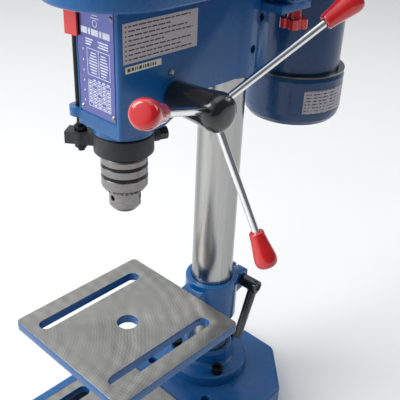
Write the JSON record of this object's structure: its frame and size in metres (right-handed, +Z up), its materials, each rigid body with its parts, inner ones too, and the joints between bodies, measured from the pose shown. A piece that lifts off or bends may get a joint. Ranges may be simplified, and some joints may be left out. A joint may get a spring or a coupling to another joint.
{
  "type": "drill press",
  "caption": "Bench drill press with a round column, tilting square table, geared feed handle, keyed chuck, stepped belt drive under a long cover and a rear motor.",
  "frame": {"origin": "column axis at the underside of the base, on the bench", "axes": "+Z up along the column, -Y towards the operator, +X to the operator's right"},
  "size_m": [0.2311, 0.4029, 0.578],
  "materials": {
    "blue_casting": "glossy blue enamel over cast iron",
    "blue_sheet": "glossy blue enamel on sheet steel",
    "ground_iron": "milled and ground bare iron",
    "polished_steel": "polished tube",
    "bright_steel": "turned steel",
    "black_steel": "black oxide",
    "dark_casting": "dark grey painted casting",
    "black_plastic": "moulded black plastic",
    "red_plastic": "glossy red plastic",
    "green_plastic": "glossy green plastic",
    "chrome": "chrome plated",
    "printed_plate": "printed aluminium sheet",
    "printed_label": "printed film label",
    "cast_aluminium": "die cast aluminium",
    "belt_rubber": "black V-belt rubber",
    "copper_winding": "enamelled copper",
    "lamination": "laminated steel"
  },
  "bodies": {
    "frame": {"base": "blue_casting", "column_flange": "blue_casting", "flange_bolts": "black_steel", "column": "polished_steel", "head_casting": "blue_casting", "head_set_screws": "black_steel", "data_plate": "printed_plate", "plate_rivets": "bright_steel", "info_label": "printed_label", "guide_screw": "bright_steel", "spring_housing": "dark_casting", "return_spring": "bright_steel", "pulley_bearings": "bright_steel", "v_belt": "belt_rubber", "cover_tray": "blue_sheet", "cover_hinges": "bright_steel", "switch_box": "black_plastic", "cable_gland": "black_plastic"},
    "table_bracket": {"table_bracket": "blue_casting", "clamp_stud": "black_steel", "tilt_bolt": "black_steel"},
    "clamp_lever": {"clamp_lever": "black_plastic"},
    "table": {"table": "ground_iron"},
    "quill": {"quill": "bright_steel", "quill_bearings": "bright_steel", "depth_collar": "dark_casting", "depth_rod": "black_steel", "depth_nuts": "black_steel", "depth_pointer": "red_plastic"},
    "collar_screw": {"collar_screw": "black_plastic"},
    "spindle": {"spindle": "bright_steel", "chuck_body": "bright_steel"},
    "chuck_sleeve": {"chuck_sleeve": "bright_steel"},
    "chuck_jaw_1": {"chuck_jaw_1": "bright_steel"},
    "chuck_jaw_2": {"chuck_jaw_2": "bright_steel"},
    "chuck_jaw_3": {"chuck_jaw_3": "bright_steel"},
    "feed": {"feed_shaft": "bright_steel", "feed_hub": "black_plastic", "feed_spoke_1": "chrome", "feed_spoke_2": "chrome", "feed_spoke_3": "chrome", "feed_knob_1": "red_plastic", "feed_knob_2": "red_plastic", "feed_knob_3": "red_plastic"},
    "spindle_pulley": {"drive_sleeve": "bright_steel", "spindle_pulley": "cast_aluminium"},
    "motor": {"motor_plate": "blue_sheet", "motor_upper_can": "blue_sheet", "motor_end_can": "blue_sheet", "stator": "lamination", "motor_bearings": "bright_steel", "motor_label": "printed_label", "tension_studs": "bright_steel"},
    "rotor": {"rotor": "bright_steel", "motor_pulley": "cast_aluminium"},
    "tension_knob": {"tension_knob": "red_plastic"},
    "cover_lid": {"cover_lid": "blue_sheet", "cover_knob": "black_plastic"},
    "start_button": {"start_button": "green_plastic"},
    "stop_button": {"stop_button": "red_plastic"}
  },
  "joints": [
    {"name": "table_height", "type": "slide", "parent": "frame", "child": "table_bracket", "axis": [0, 0, -1], "range_m": [-0.105, 0.028]},
    {"name": "table_tilt", "type": "hinge", "parent": "table_bracket", "child": "table", "pos_m": [0, -0.06, 0.135], "axis": [0, 1, 0], "range_deg": [-45, 45]},
    {"name": "clamp_lever_turn", "type": "hinge", "parent": "table_bracket", "child": "clamp_lever", "pos_m": [0.026, 0.038, 0.139], "axis": [1, 0, 0], "range_deg": [-10, 110]},
    {"name": "quill_feed", "type": "slide", "parent": "frame", "child": "quill", "axis": [0, 0, -1], "range_m": [0, 0.05], "stiffness_N_per_m": 400, "springref_m": -0.12},
    {"name": "feed_turn", "type": "hinge", "parent": "frame", "child": "feed", "pos_m": [0, -0.0956, 0.4068], "axis": [1, 0, 0], "range_deg": [0, 225.19]},
    {"name": "collar_screw_turn", "type": "hinge", "parent": "quill", "child": "collar_screw", "pos_m": [0.01163, -0.09505, 0.366], "axis": [0.342, 0.9397, 0], "range_deg": [-90, 90]},
    {"name": "spindle_spin", "type": "hinge", "parent": "quill", "child": "spindle", "pos_m": [0, -0.127, 0.4], "axis": [0, 0, 1], "continuous": true},
    {"name": "sleeve_turn", "type": "hinge", "parent": "spindle", "child": "chuck_sleeve", "pos_m": [0, -0.127, 0.33], "axis": [0, 0, 1], "range_deg": [0, 2520]},
    {"name": "pulley_spin", "type": "hinge", "parent": "frame", "child": "spindle_pulley", "pos_m": [0, -0.127, 0.5], "axis": [0, 0, 1], "continuous": true},
    {"name": "motor_slide", "type": "slide", "parent": "frame", "child": "motor", "axis": [0, -1, 0], "range_m": [0, 0.012]},
    {"name": "motor_spin", "type": "hinge", "parent": "motor", "child": "rotor", "pos_m": [0, 0.12, 0.45], "axis": [0, 0, 1], "continuous": true},
    {"name": "tension_knob_turn", "type": "hinge", "parent": "motor", "child": "tension_knob", "pos_m": [0.04, 0.051, 0.45], "axis": [0, 0, 1], "range_deg": [0, 720]},
    {"name": "lid_hinge", "type": "hinge", "parent": "frame", "child": "cover_lid", "pos_m": [-0.0605, 0, 0.512], "axis": [0, -1, 0], "range_deg": [0, 100]},
    {"name": "start_press", "type": "slide", "parent": "frame", "child": "start_button", "axis": [1, 0, 0], "range_m": [0, 0.002], "stiffness_N_per_m": 400},
    {"name": "stop_press", "type": "slide", "parent": "frame", "child": "stop_button", "axis": [1, 0, 0], "range_m": [0, 0.003], "stiffness_N_per_m": 400},
    {"name": "jaw_slide_1", "type": "slide", "parent": "spindle", "child": "chuck_jaw_1", "axis": [0, 0.2588, 0.9659], "range_m": [0, 0.0141]},
    {"name": "jaw_slide_2", "type": "slide", "parent": "spindle", "child": "chuck_jaw_2", "axis": [-0.2241, -0.1294, 0.9659], "range_m": [0, 0.0141]},
    {"name": "jaw_slide_3", "type": "slide", "parent": "spindle", "child": "chuck_jaw_3", "axis": [0.2241, -0.1294, 0.9659], "range_m": [0, 0.0141]}
  ],
  "couplings": [
    {"joint": "feed_turn", "follows": "quill_feed", "rad_per_m": 78.431},
    {"joint": "pulley_spin", "follows": "motor_spin", "ratio": 1},
    {"joint": "spindle_spin", "follows": "motor_spin", "ratio": 1},
    {"joint": "jaw_slide_1", "follows": "sleeve_turn", "m_per_rad": 0.00031831},
    {"joint": "jaw_slide_2", "follows": "sleeve_turn", "m_per_rad": 0.00031831},
    {"joint": "jaw_slide_3", "follows": "sleeve_turn", "m_per_rad": 0.00031831}
  ]
}
